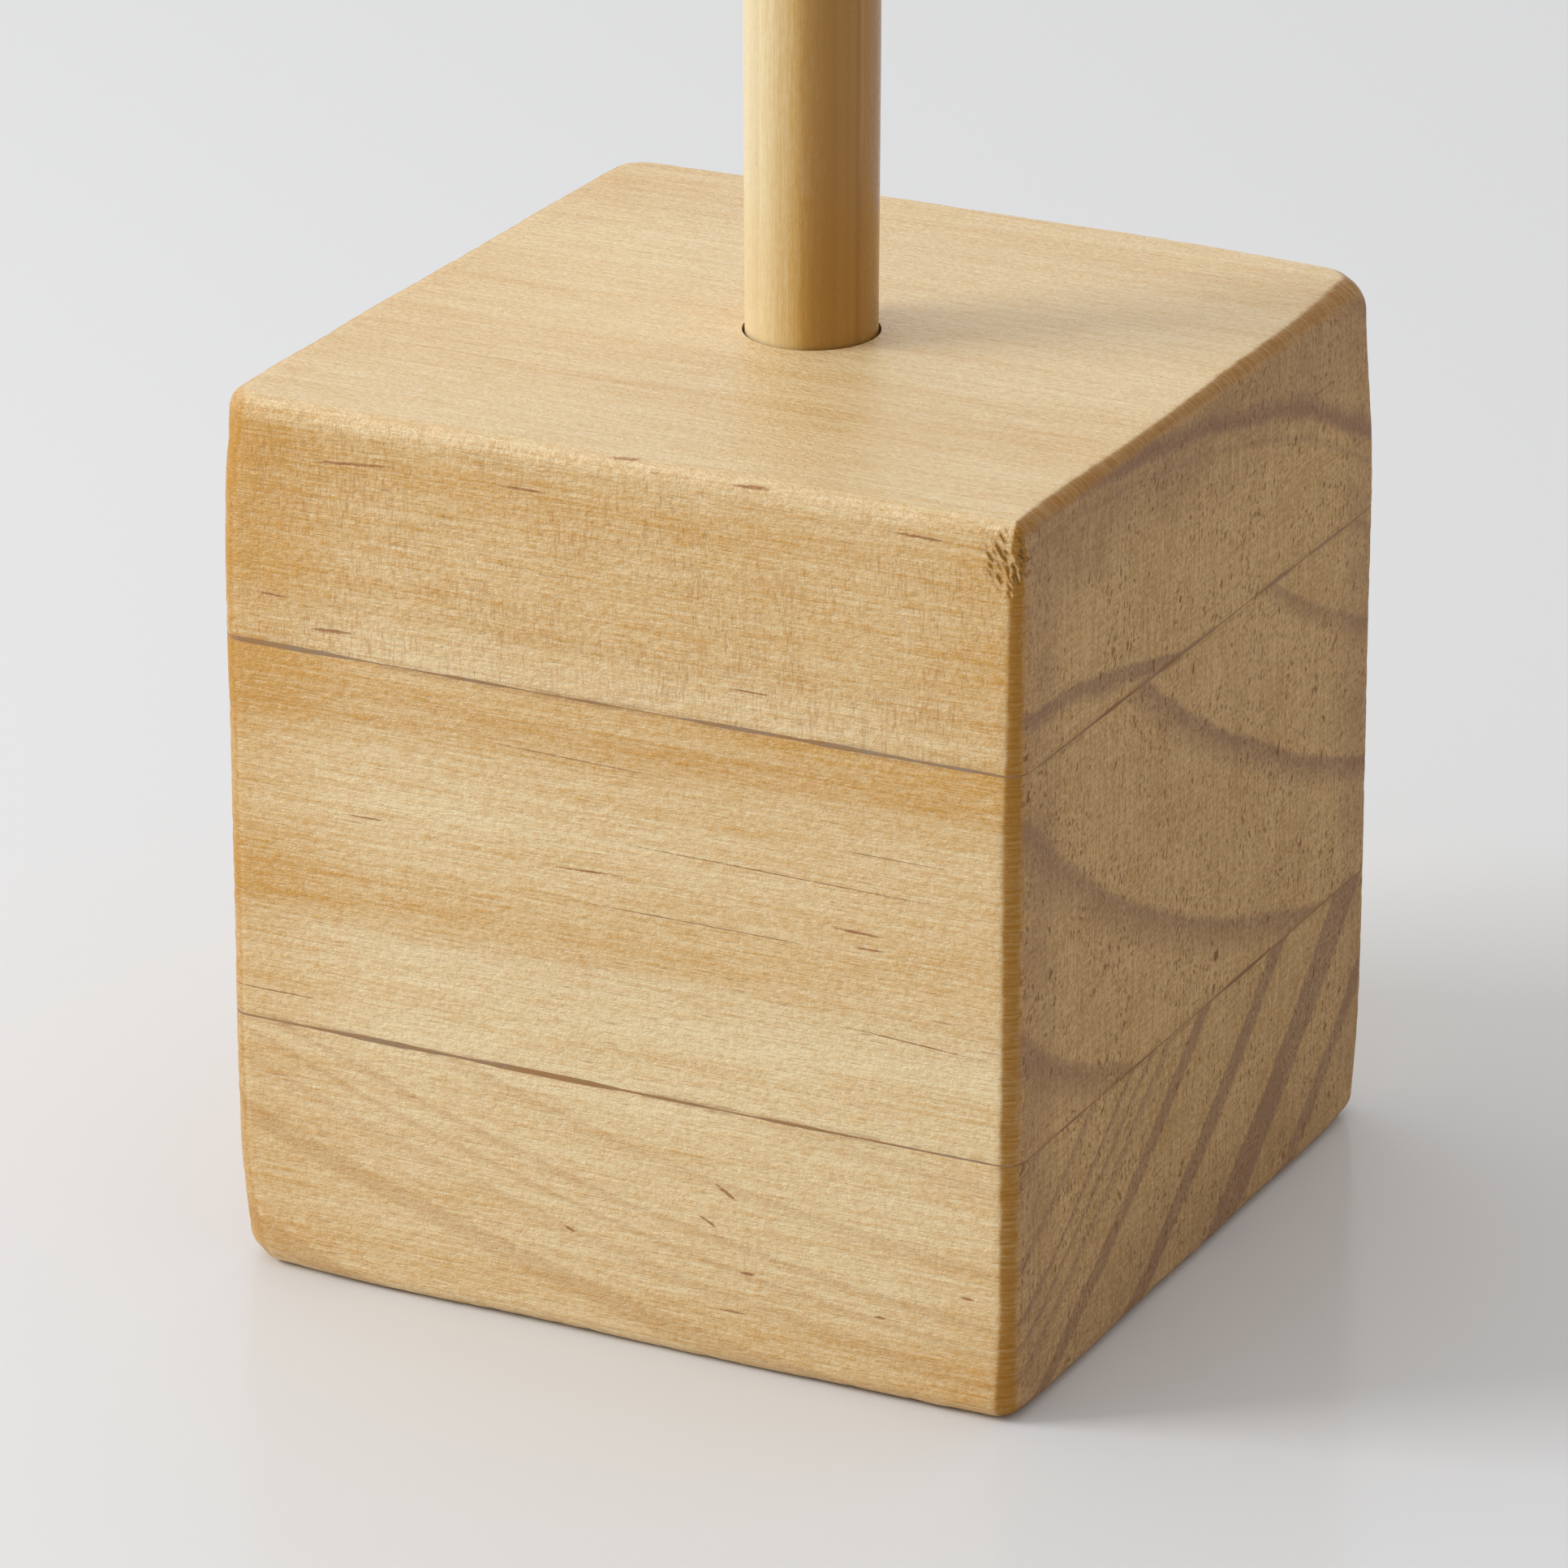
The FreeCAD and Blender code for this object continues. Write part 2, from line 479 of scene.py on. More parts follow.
def end_grain(r, facts, ring):
    """Colour and relief where the boards were sawn across: rings, pores with painted highlights round
    them, and saw scratches.
    """
    timber = settings().timber
    cloud = r.grains((30, 14, 14), 3, 0.55, seed=13)
    grit = r.grains((1.0, 0.62, 0.5), 4, 0.8, seed=14)
    hair = r.grains((4.0, 0.36, 9.0), 3, 0.7, seed=15)
    cross = r.grains((4.0, 9.0, 0.22), 3, 0.7, seed=16)
    pored = r.grains((2.0, 0.55, 0.95), 2, 0.5, seed=17, tilt=0.25)
    pore = r.spread(pored, 0.56, 0.66)
    crowd = r.spread(r.grains((20, 9, 9), 2, 0.5, seed=18), 0.36, 0.6, 0.15, 1.0)
    pore = r.product(pore, crowd)
    # painted highlight: a pale ring round each pore, for light catching the pore's rim
    rim = r.product(r.spread(pored, 0.46, 0.54), r.spread(pored, 0.54, 0.62, 1.0, 0.0), crowd)
    pit = r.spread(r.grains((2.5, 1.0, 1.9), 1, 0.4, seed=27, tilt=0.2), 0.7, 0.77)
    hole = r.chain("MAXIMUM", [r.product(pore, 0.8), pit])
    slant = r.spread(r.grains((4.0, 0.2, 12.0), 2, 0.5, seed=19, tilt=0.75), 0.58, 0.72)
    counter = r.spread(r.grains((4.0, 0.2, 12.0), 2, 0.5, seed=20, tilt=-0.9), 0.6, 0.74)
    cuts = r.product(r.chain("MAXIMUM", [slant, counter]), facts["cut_marks"])

    broken = r.spread(r.sum(hair, r.product(grit, 0.6)), 0.5, 1.1, 0.75, 1.1, smooth=False)
    depth = r.product(ring, broken)
    tone = r.sum(
        r.product(cloud, 1.0), r.product(grit, 6.0), r.product(hair, 3.4), r.product(cross, 2.4), -5.9
    )
    colour = r.mix(r.spread(tone, -0.2, 1.2, smooth=False), timber.end_pale, timber.end_brown)
    colour = r.mix(r.product(depth, facts["ring_on_end"]), colour, timber.end_late)
    # the painted highlight round the pores
    colour = r.mix(r.product(rim, 0.45), colour, timber.end_pale)
    colour = r.mix(r.product(hole, 0.85), colour, timber.pore)
    colour = r.mix(r.product(cuts, 0.4), colour, timber.end_pale)
    relief = r.sum(
        r.product(grit, 0.9), r.product(hair, 0.7), r.product(cross, 0.5), r.product(hole, -0.06),
        r.product(cuts, -0.2),
    )
    return colour, relief


def pine(board):
    """Oiled pine for one board: rings, long grain and end grain in one solid pattern."""
    facts, timber = BOARDS[board], settings().timber
    r = Finish(facts["piece"])
    ring = r.bands(ring_field(r, facts), facts["rings"])
    colour, relief = long_grain(r, facts, ring)
    end_colour, end_relief = end_grain(r, facts, ring)

    # the sawn ends are darker towards their borders, most of all along the top
    border = r.chain("MAXIMUM", [
        r.spread(r.z, TOP - 17, TOP - 6),
        r.spread(r.math("ABSOLUTE", r.y), BACK - 14, BACK - 5, 0, 0.8),
        r.spread(r.z, UNDERSIDE + 18, UNDERSIDE + 4, 0, 0.6),
    ])
    cloud = r.spread(r.grains((9, 12, 7), 2, 0.6, seed=24), 0.3, 0.6, 0.5, 1.0)
    end_colour = r.mix(r.product(border, cloud, 0.42), end_colour, timber.end_late)

    # the stain soaks in deeper where a rounded edge opens the grain
    turned = r.facing("X")
    across = r.spread(turned, 0.74, 0.97)
    stripes = [
        r.product(r.grains(lengths, 3, 0.65, seed=21), r.spread(r.facing(axis), 0.1, 0.4))
        for axis, lengths in (("Z", (9, 0.42, 9)), ("Y", (9, 9, 0.42)))
    ]
    stripe = r.spread(r.chain("MAXIMUM", stripes), 0.36, 0.62)
    rightward = r.spread(r.normal[0], -0.5, 0.5, 0.35, 1.0)
    opened = r.spread(turned, 0.12, 0.36)
    soaked = r.product(opened, r.spread(stripe, 0, 1, 0.75, 1.0, smooth=False), rightward)
    colour = r.mix(soaked, colour, timber.edge)
    colour = r.mix(across, colour, end_colour)

    # glue that squeezed out of the seams has darkened the wood a little
    low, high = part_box(board)
    for edge in (low.z, high.z):
        if UNDERSIDE + 1 < edge / MM < TOP - 1:
            away = r.math("ABSOLUTE", r.math("SUBTRACT", r.z, edge / MM))
            near = r.spread(away, 0.1, 0.75, 1, 0)
            blot = r.spread(r.grains((7, 7, 1.2), 3, 0.6, seed=22), 0.4, 0.66)
            colour = r.mix(r.product(near, blot, 0.5), colour, settings().glue.stain)
    r.feed(r.shader.inputs["Base Color"], colour)

    relief = r.sum(r.product(relief, r.math("SUBTRACT", 1.0, across)), r.product(end_relief, across))
    r.feed(r.shader.inputs["Normal"], r.bump(relief, PINE_RELIEF))
    shine = r.grains((3, 0.8, 0.8), 2, 0.5, seed=23)
    patchy = r.spread(shine, 0.3, 0.7, -0.05, 0.07)
    dull = r.spread(across, 0, 1, timber.roughness, SAWN_ROUGHNESS)
    r.feed(r.shader.inputs["Roughness"], r.sum(patchy, dull))
    r.feed(r.shader.inputs["Specular IOR Level"], r.spread(turned, 0.08, 0.4, 0.5, 0.12))
    r.shader.inputs["IOR"].default_value = PINE_IOR
    return r.material


# ---------------------------------------------------------------- shape of the block

# The least radius of an edge, and how much rounder the upright corners are than the arrises, in mm.
LEAST_RADIUS = 0.6
UPRIGHT_EXTRA = 0.6
# The glue films' thickness in the CAD, how far a board's edge is eased back at a seam, and the distance
# within which a point counts as lying on a face, in mm.
FILM_THICKNESS = 0.3
SEAM_EASE = 0.05
TOUCHING = 1e-4

# Corners that the sanding took down more or less than the rest: (x, y, z) signs, extra radius of the
# arrises, extra radius of the upright corner and reach, in mm.
WORN_CORNERS = [
    ((-1, -1, 1), 0.6, 2.6, 9.0),
    ((-1, 1, 1), 0.6, 2.6, 9.0),
    ((1, 1, 1), 2.0, 4.6, 16.0),
    ((1, -1, 1), 0.3, -0.6, 8.0),
    ((-1, -1, -1), 1.6, 3.2, 9.0),
    ((1, -1, -1), 0.9, 0.9, 7.0),
    ((1, 1, -1), 1.2, 2.4, 9.0),
    ((-1, 1, -1), 1.2, 2.4, 9.0),
]


def humps(place, lengths):
    """Smooth noise from -1 to 1, whose humps are about as long as lengths, in mm, along X, Y and Z."""
    return noise.noise(Vector([along / size for along, size in zip(place, lengths)]))


def corner_place(signs):
    """A corner of the sawn block, from the signs of its coordinates."""
    return Vector((
        RIGHT if signs[0] > 0 else LEFT,
        BACK if signs[1] > 0 else FRONT,
        TOP if signs[2] > 0 else UNDERSIDE,
    ))


def radii(place):
    """How much the sanding rounded the arrises and the upright corners near a place, in millimetres."""
    arris = settings().block.arris_radius / MM * (1 + 0.22 * noise.noise(place / 19))
    upright = arris + UPRIGHT_EXTRA
    for signs, more_arris, more_upright, reach in WORN_CORNERS:
        nearness = math.exp(-(((place - corner_place(signs)).length / reach) ** 2))
        arris += more_arris * nearness
        upright += more_upright * nearness
    return max(arris, LEAST_RADIUS), max(upright, LEAST_RADIUS)


def sanded(place):
    """Where a point of the sawn block's skin lies after sanding, and the way out of the wood there."""
    arris, upright = radii(place)
    # first the upright corners, seen from above
    sides = Vector((math.copysign(1, place.x), math.copysign(1, place.y)))
    past = Vector((abs(place.x) - RIGHT + upright, abs(place.y) - BACK + upright))
    if min(past) > 0:
        reach = max(past)
        flat = past.normalized()
        corner = Vector((RIGHT - upright, BACK - upright))
        spot = (corner + flat * reach) * sides
        flat = flat * sides
        inset = upright - reach
    else:
        spot = place.xy
        flat = Vector((sides.x, 0)) if past.x > past.y else Vector((0, sides.y))
        inset = upright - max(past)
    # then the arrises round the top and the underside
    up = 1 if place.z > (UNDERSIDE + TOP) / 2 else -1
    rise = arris - (TOP - place.z if up > 0 else place.z - UNDERSIDE)
    run = arris - inset
    if rise <= 0:
        return Vector((*spot, place.z)), Vector((*flat, 0))
    if run <= 0:
        return Vector((*spot, place.z)), Vector((0, 0, up))
    out = Vector((*(flat * run), up * rise)).normalized()
    core = Vector((*(spot - flat * run), place.z - up * rise))
    return core + out * arris, out


# The near upper corner, where the saw tore the grain: the middle of the torn spot and its reach, in mm.
TEAR_OUT = (Vector((RIGHT - 1.8, FRONT + 0.4, TOP - 4.4)), Vector((3.2, 1.6, 4.0)))


def tear_out(place):
    """How strongly the grain is torn at a place, from 0 to 1."""
    middle, reach = TEAR_OUT
    away = place - middle
    away = Vector((away.x / reach.x, away.y / reach.y, away.z / reach.z)).length
    slanted = place.z + 1.2 * place.x
    ragged = humps((place.x, place.y, slanted), (1.2, 1.2, 0.62))
    splinter = humps((place.x, place.y, slanted), (0.6, 0.6, 0.4))
    inside = min(max(1.1 - away, 0), 0.5) / 0.5
    return inside * min(max(1.7 * ragged + 1.1 * splinter, 0), 1)


def relief(place, out):
    """How far, in mm, the skin lies below the sanded face: dips, raised grain, chips and tear-out."""
    block = settings().block
    dip = (0.5 + 0.5 * noise.noise(place / 26)) * block.unevenness
    along = 1 - abs(out.x)
    fibre = 0.5 + 0.5 * humps(place, (9, 1.3, 1.3))
    rounded = 4 * (out.x * out.y) ** 2 + 4 * (out.y * out.z) ** 2 + 4 * (out.x * out.z) ** 2
    spot = Vector((place.x / 2.6, place.y / 1.5, place.z / 1.5)) + Vector((3, 7, 1))
    chip = max(noise.noise(spot), 0)
    depth = dip + fibre * along * block.fibre_relief + min(rounded, 1) * chip * block.edge_wear
    return (depth + tear_out(place) * block.tear_depth) / MM


def glue_thickness(place):
    """A glue line's thickness at a place on the skin, in mm: thick runs and hairline stretches."""
    glue = settings().glue
    run = 0.42 + 1.3 * humps(place, (11, 11, 9))
    ripple = 0.2 * noise.noise(place / 1.9)
    fullness = min(max(run + ripple, 0), 1)
    return (glue.thin + (glue.thick - glue.thin) * fullness ** 1.6) / MM


def sand_mesh(mesh, seams):
    """Move a sawn board's vertices to the sanded, slightly uneven skin, and let its seams waver."""
    for vertex in mesh.vertices:
        place = vertex.co / MM
        skin = max(abs(place.x) - RIGHT, abs(place.y) - BACK, place.z - TOP, UNDERSIDE - place.z)
        if skin < -TOUCHING:
            continue
        new, out = sanded(place)
        for seam, towards in seams:
            if abs(place.z - seam) < TOUCHING:
                new.z += towards * (glue_thickness(place) - FILM_THICKNESS) / 2
                new -= Vector((out.x, out.y, 0)) * SEAM_EASE
        vertex.co = (new - out * relief(new, out)) * MM


# ---------------------------------------------------------------- building

# Points closer than this are one, in metres.
MERGE = 1e-6
# Faces round the dowel's hole, rows of faces down its wall in each board, and how the fine cap meets
# it: the square left open, in hole radii, and the steps from the square to the round mouth.
SOCKET_SIDES = 96
TOP_SOCKET_ROWS = 20
MIDDLE_SOCKET_ROWS = 24
OPEN_SQUARE = 1.35
MOUTH_STEPS = 7


def square_loop(bm, height, cuts):
    """The block's sawn outline at a height, in metres, each side cut into equal steps."""
    made = bmesh.ops.create_circle(bm, segments=4, radius=BLOCK_SIDE / math.sqrt(2))["verts"]
    bmesh.ops.rotate(bm, verts=made, cent=(0, 0, 0), matrix=Matrix.Rotation(math.pi / 4, 3, "Z"))
    bmesh.ops.translate(bm, verts=made, vec=(0, 0, height))
    sides = list({e for v in made for e in v.link_edges})
    split = bmesh.ops.subdivide_edges(bm, edges=sides, cuts=cuts)["geom_split"]
    return [g for g in split if isinstance(g, bmesh.types.BMEdge)]


def wall(bm, loop, rise, rows):
    """Extrude a loop straight up or down and divide the new faces into rows. Gives the far loop."""
    verts, far = loop_from(bmesh.ops.extrude_edge_only(bm, edges=loop)["geom"])
    bmesh.ops.translate(bm, verts=list(verts), vec=(0, 0, rise))
    if rows > 1:
        uprights = [e for v in verts for e in v.link_edges if e.other_vert(v) not in verts]
        bmesh.ops.subdivide_edges(bm, edges=uprights, cuts=rows - 1)
    return far


def loop_from(geometry):
    """The vertices and the loop of edges that an extrusion made."""
    verts = {g for g in geometry if isinstance(g, bmesh.types.BMVert)}
    edges = [g for g in geometry if isinstance(g, bmesh.types.BMEdge)]
    return verts, [e for e in edges if set(e.verts) <= verts]


def fine_cap(bm, height, steps, hole_radius):
    """A visible flat cap: a fine grid, whose middle closes in on a round hole if it has one."""
    made = bmesh.ops.create_grid(bm, x_segments=steps, y_segments=steps, size=BLOCK_SIDE / 2)
    bmesh.ops.translate(bm, verts=made["verts"], vec=(0, 0, height))
    if not hole_radius:
        return None
    faces = {f for v in made["verts"] for f in v.link_faces}
    half = hole_radius * OPEN_SQUARE
    middle = [f for f in faces if max(abs(c) for c in f.calc_center_median().xy) < half]
    rim_verts = {v for f in middle for v in f.verts}
    bmesh.ops.delete(bm, geom=middle, context="FACES")
    rim = list({e for v in rim_verts if v.is_valid for e in v.link_edges if e.is_boundary})
    verts, mouth = loop_from(bmesh.ops.extrude_edge_only(bm, edges=rim)["geom"])
    for vertex in verts:
        vertex.co.xy = vertex.co.xy.normalized() * hole_radius
    spokes = [e for v in verts for e in v.link_edges if e.other_vert(v) not in verts]
    bmesh.ops.subdivide_edges(bm, edges=spokes, cuts=MOUTH_STEPS - 1)
    return mouth


def plain_cap(bm, loops):
    """A hidden flat cap between an outline and the loops inside it."""
    edges = [e for loop in loops for e in loop]
    bmesh.ops.triangle_fill(bm, use_beauty=True, use_dissolve=False, edges=edges)


def mark_sharp(loops):
    """Keep the shading crisp along these loops."""
    for loop in loops:
        for edge in loop:
            edge.smooth = False


def finished(bm, name, body, slot, material, *nodes):
    """Turn a bmesh into a piece of the object, riding on a body in place of its CAD nodes."""
    bmesh.ops.remove_doubles(bm, verts=bm.verts, dist=MERGE)
    bmesh.ops.recalc_face_normals(bm, faces=bm.faces)
    for face in bm.faces:
        face.smooth = True
    mesh = bpy.data.meshes.new(name)
    bm.to_mesh(mesh)
    bm.free()
    piece = bpy.data.objects.new(name, mesh)
    bpy.context.scene.collection.objects.link(piece)
    mesh.materials.append(material)
    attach(piece, body)
    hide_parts(*nodes)
    return piece


def socket_loop(bm, height):
    """The dowel hole's outline at a height."""
    radius = settings().block.socket_radius
    made = bmesh.ops.create_circle(bm, segments=SOCKET_SIDES, radius=radius)["verts"]
    bmesh.ops.translate(bm, verts=made, vec=(0, 0, height))
    return list({e for v in made for e in v.link_edges})


def board_mesh(board):
    """A board's sawn shape: fine walls, and a fine cap where a face shows."""
    block = settings().block
    low, high = (corner.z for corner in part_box(board))
    steps = round(BLOCK_SIDE / block.mesh_step)
    rows = round((high - low) / block.mesh_step)
    bm = bmesh.new()
    base = square_loop(bm, low, steps - 1)
    rim = wall(bm, base, high - low, rows)
    socket_floor = BLOCK_HIGH.z - block.socket_depth
    sharp = []
    if board == "bottom_board":
        fine_cap(bm, low, steps, None)
        plain_cap(bm, [rim])
        sharp = [rim]
    elif board == "middle_board":
        plain_cap(bm, [base])
        mouth = socket_loop(bm, high)
        plain_cap(bm, [rim, mouth])
        floor = wall(bm, mouth, socket_floor - high, MIDDLE_SOCKET_ROWS)
        bmesh.ops.contextual_create(bm, geom=floor)
        sharp = [base, rim, mouth, floor]
    else:
        mouth = fine_cap(bm, high, steps, block.socket_radius)
        foot = wall(bm, mouth, low - high, TOP_SOCKET_ROWS)
        plain_cap(bm, [base, foot])
        sharp = [base, mouth, foot]
        refine_tear_out(bm)
    mark_sharp(sharp)
    return bm


def refine_tear_out(bm):
    """Finer faces where the grain is torn."""
    middle, reach = TEAR_OUT
    bmesh.ops.remove_doubles(bm, verts=bm.verts, dist=MERGE)
    near = {
        e for v in bm.verts for e in v.link_edges
        if all(abs(v.co[k] / MM - middle[k]) < reach[k] * 1.2 for k in range(3))
    }
    bmesh.ops.subdivide_edges(bm, edges=list(near), cuts=2, use_grid_fill=True)


# The seams of each board: height in mm and which way its glue lies.
SEAMS = {
    "bottom_board": [(seam_heights("lower_glue_line")[0], -1)],
    "middle_board": [(seam_heights("lower_glue_line")[1], 1), (seam_heights("upper_glue_line")[0], -1)],
    "top_board": [(seam_heights("upper_glue_line")[1], 1)],
}


class TOWELHOLDER_OT_boards(bpy.types.Operator):
    """Build the three sanded pine boards"""

    bl_idname = "towel_holder.boards"
    bl_label = "Pine boards"

    def execute(self, context):
        for board, facts in BOARDS.items():
            shape, wood = board_mesh(board), pine(board)
            piece = finished(shape, facts["piece"], "block", facts["slot"], wood, board)
            sand_mesh(piece.data, SEAMS[board])
            if not piece.data.polygons:
                raise RuntimeError(board + " came out empty")
        return {"FINISHED"}


def glue_material(name):
    """Dried brown wood glue, greyer where it is thin, with painted shade where it faces the sides."""
    glue = settings().glue
    r = Finish(name)
    run = r.spread(r.grains((14, 14, 4), 2, 0.6, seed=24), 0.4, 0.62)
    crumb = r.grains((0.9, 0.9, 0.35), 3, 0.65, seed=25)
    colour = r.mix(run, glue.brown, glue.grey)
    colour = r.mix(r.spread(crumb, 0.35, 0.7, 0.0, 0.6), colour, settings().timber.edge)
    # painted shade: where the glue faces the sides it goes almost pore-dark, standing for the shadow in
    # the seam's gap
    painted_gap_shade = r.spread(r.facing("X"), 0.5, 0.9)
    colour = r.mix(r.product(painted_gap_shade, 0.85), colour, settings().timber.pore)
    r.feed(r.shader.inputs["Base Color"], colour)
    r.feed(r.shader.inputs["Normal"], r.bump(crumb, GLUE_RELIEF))
    r.feed(r.shader.inputs["Roughness"], r.spread(run, 0, 1, 0.42, 0.65))
    return r.material


class TOWELHOLDER_OT_glue_lines(bpy.types.Operator):
    """Build the two dried glue lines between the boards"""

    bl_idname = "towel_holder.glue_lines"
    bl_label = "Glue lines"

    def execute(self, context):
        block = settings().block
        steps = round(BLOCK_SIDE / block.mesh_step)
        for film, holed in (("lower_glue_line", False), ("upper_glue_line", True)):
            low, high = (corner.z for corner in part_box(film))
            bm = bmesh.new()
            base = square_loop(bm, low, steps - 1)
            rim = wall(bm, base, high - low, 2)
            if holed:
                mouth = socket_loop(bm, high)
                foot = wall(bm, mouth, low - high, 1)
                plain_cap(bm, [rim, mouth])
                plain_cap(bm, [base, foot])
            else:
                plain_cap(bm, [rim])
                plain_cap(bm, [base])
            mark_sharp([rim, base])
            name = film.replace("_line", "_film")
            piece = finished(bm, name, "block", "glue", glue_material(name), film)
            sand_mesh(piece.data, [(low / MM, -1), (high / MM, 1)])
        return {"FINISHED"}


# ---------------------------------------------------------------- dowel

# Grain bands across the rod: (start, end, darkness, softness of the start, softness of the end), in
# mm from the axis towards its darker side.
DOWEL_GRAIN = [
    (-6.6, -6.3, .2, .8, .3), (-0.9, 0.5, .5, 1.0, 1.2), (2.6, 2.8, .3, .5, .3),
    (4.2, 4.3, .25, .4, .3), (5.4, 5.7, .8, .3, .3), (7.2, 7.4, .3, .4, .2),
]
# Painted light and shade: the rod's colour runs along this way across the view, from pale on its lit
# left to amber on its shaded right.
PAINTED_SHADE_SIDE = Vector((0.895, 0.446, 0))
# How deep the rod's dents and its raised fibres are, in mm.
DENT_DEPTH = 0.05
FIBRE_DEPTH = 0.015


def dowel_material():
    """Oiled pine turned to a rod: grain up Z, pale and amber sides partly the wood, partly painted
    light and shade.
    """
    dowel, timber = settings().dowel, settings().timber
    r = Finish("dowel_pine")
    # painted light and shade: pale wood and painted light on the lit left, honey, then amber wood and
    # painted shade on the right
    side = r.measure("DOT_PRODUCT", r.place, PAINTED_SHADE_SIDE)
    wander = r.swing(r.grains((4, 4, 130), 2, 0.5, seed=1), 0.7)
    u = r.sum(side, wander)
    ring = r.bands(u, DOWEL_GRAIN)
    streak = r.spread(r.grains((1.2, 1.2, 70), 4, 0.65, seed=2), 0.3, 0.7, -0.5, 0.5)
    fibre = r.grains((0.3, 0.3, 7), 3, 0.7, seed=3)
    mottle = r.grains((0.8, 0.8, 1.6), 3, 0.6, seed=4)
    fine = r.sum(r.product(fibre, 0.5), r.product(mottle, 0.4), -0.45)
    vary = r.sum(r.product(streak, 0.22), r.product(fine, 1.3))
    honey_toward_shade = r.sum(r.spread(u, -6.0, -0.6, 0.0, 1.0, smooth=False), vary)
    skin = r.mix(r.spread(honey_toward_shade, 0.0, 1.0, smooth=False), dowel.bright, dowel.honey)
    skin = r.mix(r.spread(r.sum(u, vary), -1.6, 2.0), skin, dowel.amber_shaded_side)
    skin = r.mix(r.product(ring, 0.62), skin, dowel.streak)
    fleck = r.spread(r.grains((0.4, 0.4, 2.2), 1, 0.4, seed=5), 0.76, 0.83)
    skin = r.mix(r.product(fleck, 0.6), skin, timber.check)
    grey = r.spread(r.grains((0.9, 0.9, 26), 2, 0.5, seed=6), 0.56, 0.72)
    skin = r.mix(r.product(grey, r.spread(u, 3.5, 7.5), 0.4), skin, timber.end_brown)

    # the sawn ends
    across = r.spread(r.facing("Z"), 0.35, 0.8)
    grit = r.grains((0.35, 0.35, 1.0), 3, 0.7, seed=7)
    ends = r.mix(r.spread(grit, 0.35, 0.7, 0.0, 0.5), timber.end_pale, timber.end_brown)
    ends = r.mix(r.product(ring, 0.7), ends, timber.end_late)
    r.feed(r.shader.inputs["Base Color"], r.mix(across, skin, ends))
    relief = r.sum(r.product(fibre, 0.5), r.product(mottle, 0.5), r.product(across, grit, 0.8))
    r.feed(r.shader.inputs["Normal"], r.bump(relief, DOWEL_RELIEF))
    shine = r.spread(mottle, 0.3, 0.7, timber.roughness - 0.1, timber.roughness)
    r.feed(r.shader.inputs["Roughness"], shine)
    r.shader.inputs["IOR"].default_value = DOWEL_IOR
    return r.material


def round_loop(bm, height):
    """The round loop of edges at a height."""
    flat = [e for e in bm.edges if all(abs(v.co.z - height) < MERGE for v in e.verts)]
    return [e for e in flat if abs(e.verts[0].co.xy.length - e.verts[1].co.xy.length) < MERGE]


class TOWELHOLDER_OT_dowel(bpy.types.Operator):
    """Build the upright dowel"""

    bl_idname = "towel_holder.dowel"
    bl_label = "Dowel"

    def execute(self, context):
        dowel = settings().dowel
        low, high = DOWEL_LOW.z, DOWEL_HIGH.z
        radius = (DOWEL_HIGH.x - DOWEL_LOW.x) / 2
        straight = low + dowel.foot_length
        outline = [
            (0.0, low), (dowel.foot_radius, low), (dowel.foot_radius, straight),
            (radius, straight + dowel.taper_length), (radius, high), (0.0, high),
        ]
        bm = bmesh.new()
        points = [bm.verts.new((across, 0, height)) for across, height in outline]
        edges = [bm.edges.new(pair) for pair in zip(points, points[1:])]
        bmesh.ops.spin(
            bm, geom=points + edges, cent=(0, 0, 0), axis=(0, 0, 1), angle=2 * math.pi,
            steps=dowel.sides, use_merge=True,
        )
        bmesh.ops.remove_doubles(bm, verts=bm.verts, dist=MERGE)
        for height, width, segments in ((low, dowel.foot_chamfer, 1), (high, dowel.end_radius, 8)):
            bmesh.ops.bevel(
                bm, geom=round_loop(bm, height), offset=width, segments=segments, profile=0.5,
                affect="EDGES", material=-1, clamp_overlap=True,
            )
        # divide only the rod's and the foot's long edges, and edges of one length together
        long_edge = 5 * dowel.row_height
        uprights = [e for e in bm.edges if abs(e.verts[0].co.z - e.verts[1].co.z) > long_edge]
        rows = {}
        for edge in uprights:
            rows.setdefault(round(edge.calc_length() / dowel.row_height), []).append(edge)
        for count, group in rows.items():
            bmesh.ops.subdivide_edges(bm, edges=group, cuts=count - 1)
        piece = finished(bm, "dowel_rod", "post", "dowel_wood", dowel_material(), "dowel")
        for vertex in piece.data.vertices:
            place = vertex.co / MM
            flat = Vector((place.x, place.y, 0))
            if flat.length > 1:
                dent = 0.5 + 0.5 * humps(place, (6, 6, 40))
                fibre = 0.5 + 0.5 * humps(place, (0.8, 0.8, 12))
                vertex.co -= flat.normalized() * (dent * DENT_DEPTH + fibre * FIBRE_DEPTH) * MM
        return {"FINISHED"}


# ---------------------------------------------------------------- stage

TABLE_ROUGHNESS = 0.16
TABLE_IOR = 1.2
TABLE_HALF = 6
# The key lamp: azimuth and elevation in degrees, distance and size in metres, and what it points at.
KEY_ANGLE = (-60, 31)
KEY_DISTANCE = 1.25
KEY_SIZE = 0.5
KEY_TARGET = Vector((0, 0, 0.06))
CAMERA_TARGET = Vector((-0.0029, -0.0014, 0.0518))
SENSOR_WIDTH = 36
FAR_CLIP = 30

# The room's mean brightness, and how much brighter it is towards an (azimuth, elevation), in degrees.
ROOM_MEAN = 0.69
ROOM_LIGHT = [(206, 0, 0.23), (-64, 0, 0.16)]


def aim(thing, place, target):
    """Put a lamp or camera at a place, looking at a target."""
    thing.location = place
    thing.rotation_mode = "QUATERNION"
    thing.rotation_quaternion = (target - place).to_track_quat("-Z", "Y")


